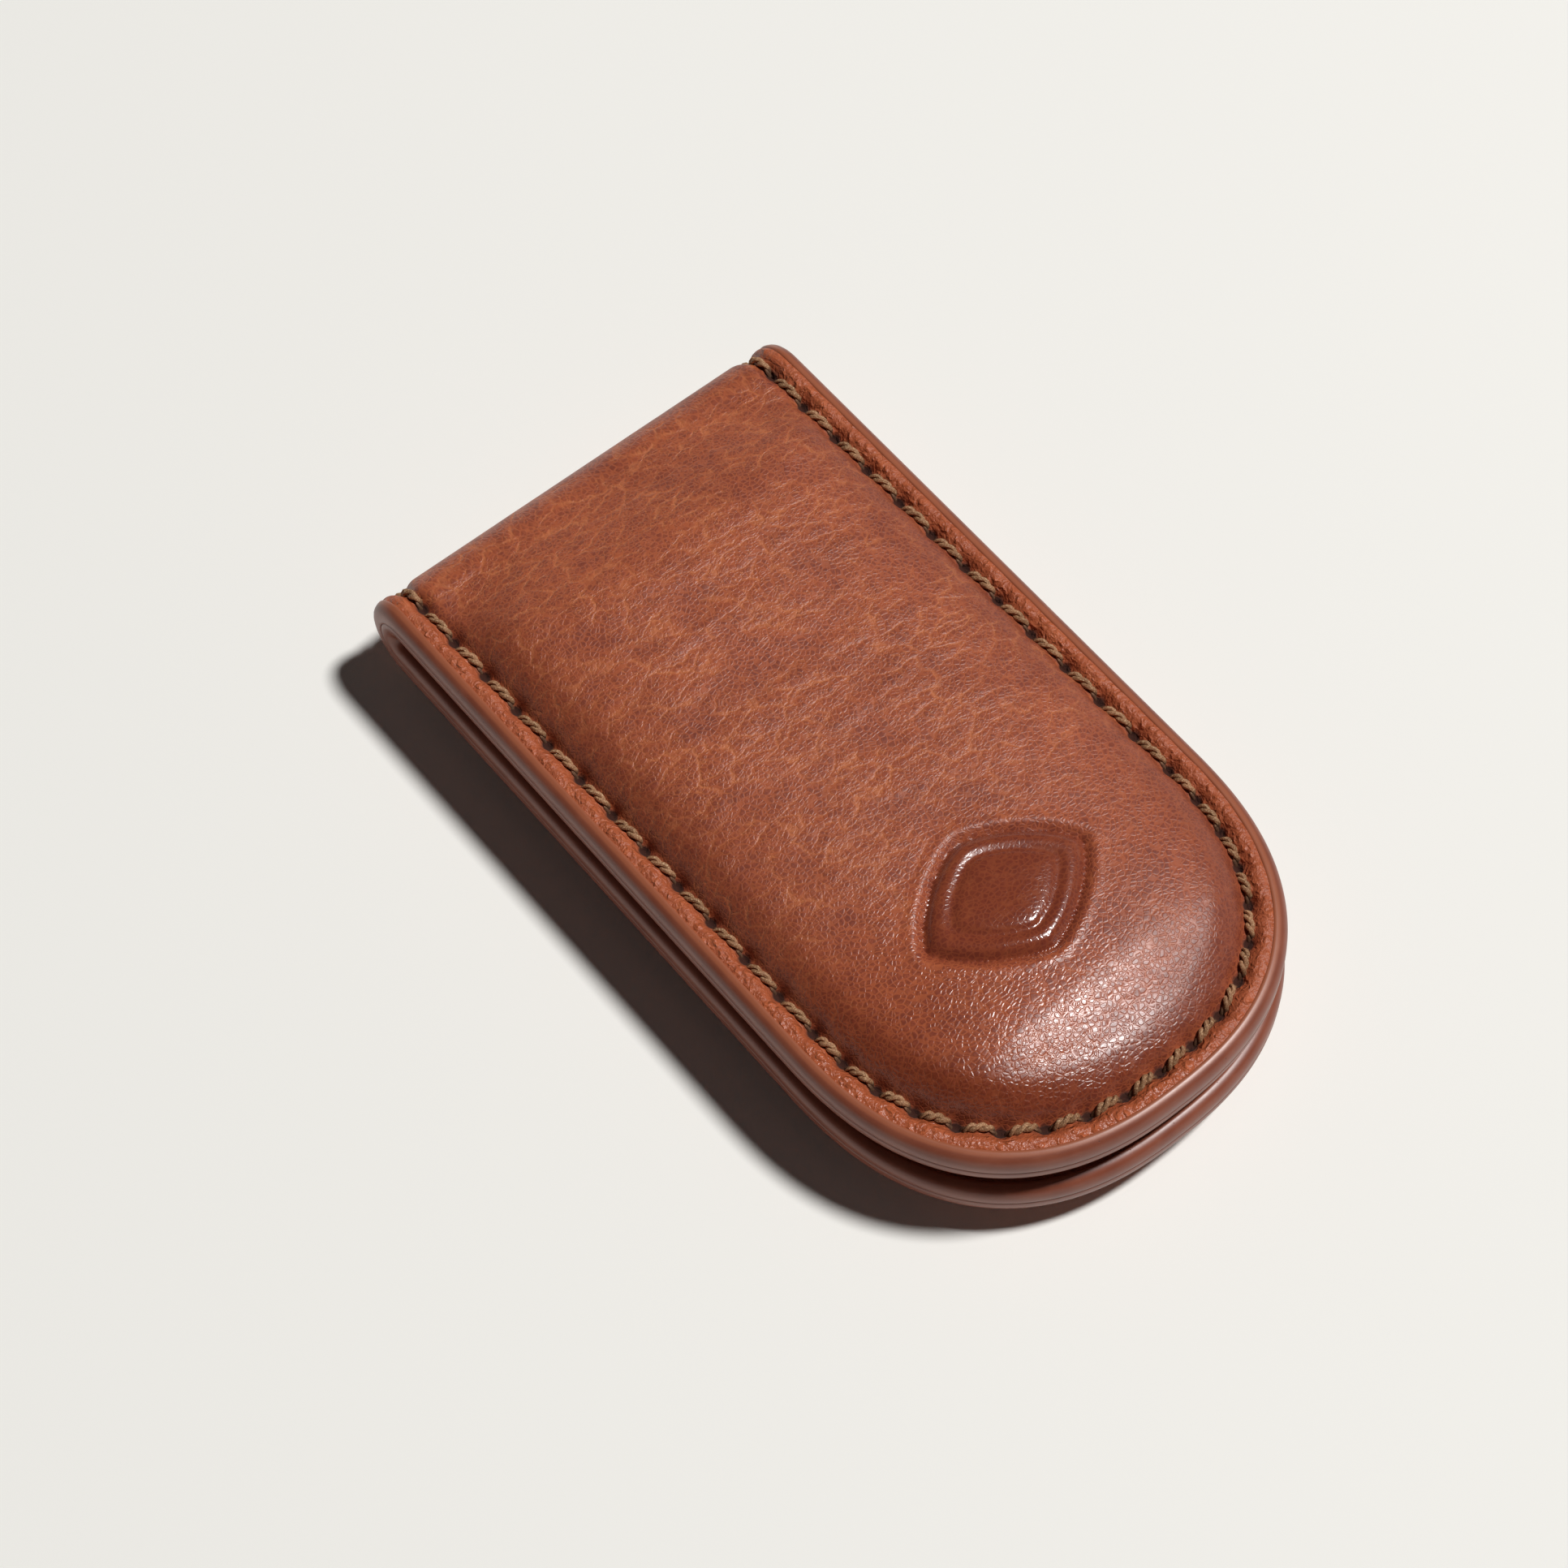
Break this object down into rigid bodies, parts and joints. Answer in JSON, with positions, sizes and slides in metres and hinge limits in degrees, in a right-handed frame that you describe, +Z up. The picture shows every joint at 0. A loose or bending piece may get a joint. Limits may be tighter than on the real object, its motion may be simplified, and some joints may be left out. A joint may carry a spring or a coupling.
{
  "type": "money clip",
  "caption": "Leather magnetic money clip: one stitched strip folded in a hairpin, with two padded leaves that close on folded notes and open flat.",
  "frame": {"origin": "under the middle of the clip, at the level that its lower pad rests on", "axes": "+X to the round noses, +Y across the clip, +Z up from the lower leaf to the upper leaf"},
  "size_m": [0.0705, 0.039, 0.0125],
  "materials": {
    "cover_leather": "cognac vegetable-tanned calf, soft sheen, burnished darker at the rims",
    "lining_leather": "smooth brown leather, matt",
    "edge_paint": "brown edge paint, satin",
    "thread": "twisted khaki thread",
    "leather_board": "bonded fibre board, matt",
    "foam": "firm closed-cell foam",
    "magnet_nickel": "nickel-plated magnet disc"
  },
  "bodies": {
    "lower_leaf": {"cover_lower_panel": "cover_leather", "lining_lower_panel": "lining_leather", "lower_board": "leather_board", "lower_foam_pad": "foam", "lower_left_magnet": "magnet_nickel", "lower_right_magnet": "magnet_nickel", "edge_paint_lower": "edge_paint", "needle_thread_lower": "thread", "bobbin_thread_lower": "thread"},
    "spine_1": {"cover_spine_1": "cover_leather", "lining_spine_1": "lining_leather", "edge_paint_spine_1_left": "edge_paint", "needle_thread_spine_1_left": "thread", "edge_paint_spine_1_right": "edge_paint", "needle_thread_spine_1_right": "thread"},
    "spine_2": {"cover_spine_2": "cover_leather", "lining_spine_2": "lining_leather", "edge_paint_spine_2_left": "edge_paint", "needle_thread_spine_2_left": "thread", "edge_paint_spine_2_right": "edge_paint", "needle_thread_spine_2_right": "thread"},
    "upper_leaf": {"cover_upper_panel": "cover_leather", "lining_upper_panel": "lining_leather", "upper_board": "leather_board", "upper_foam_pad": "foam", "upper_left_magnet": "magnet_nickel", "upper_right_magnet": "magnet_nickel", "edge_paint_upper": "edge_paint", "needle_thread_upper": "thread", "bobbin_thread_upper": "thread"}
  },
  "joints": [
    {"name": "fold_1", "type": "hinge", "parent": "lower_leaf", "child": "spine_1", "pos_m": [-0.03272, 0, 0.00405], "axis": [0, -1, 0], "range_deg": [-0.33, 60]},
    {"name": "fold_2", "type": "hinge", "parent": "spine_1", "child": "spine_2", "pos_m": [-0.03399, 0, 0.00625], "axis": [0, -1, 0], "range_deg": [-0.33, 60]},
    {"name": "fold_3", "type": "hinge", "parent": "spine_2", "child": "upper_leaf", "pos_m": [-0.03272, 0, 0.00845], "axis": [0, -1, 0], "range_deg": [-0.33, 60]}
  ],
  "couplings": [
    {"joint": "fold_2", "follows": "fold_1", "ratio": 1},
    {"joint": "fold_3", "follows": "fold_1", "ratio": 1}
  ]
}
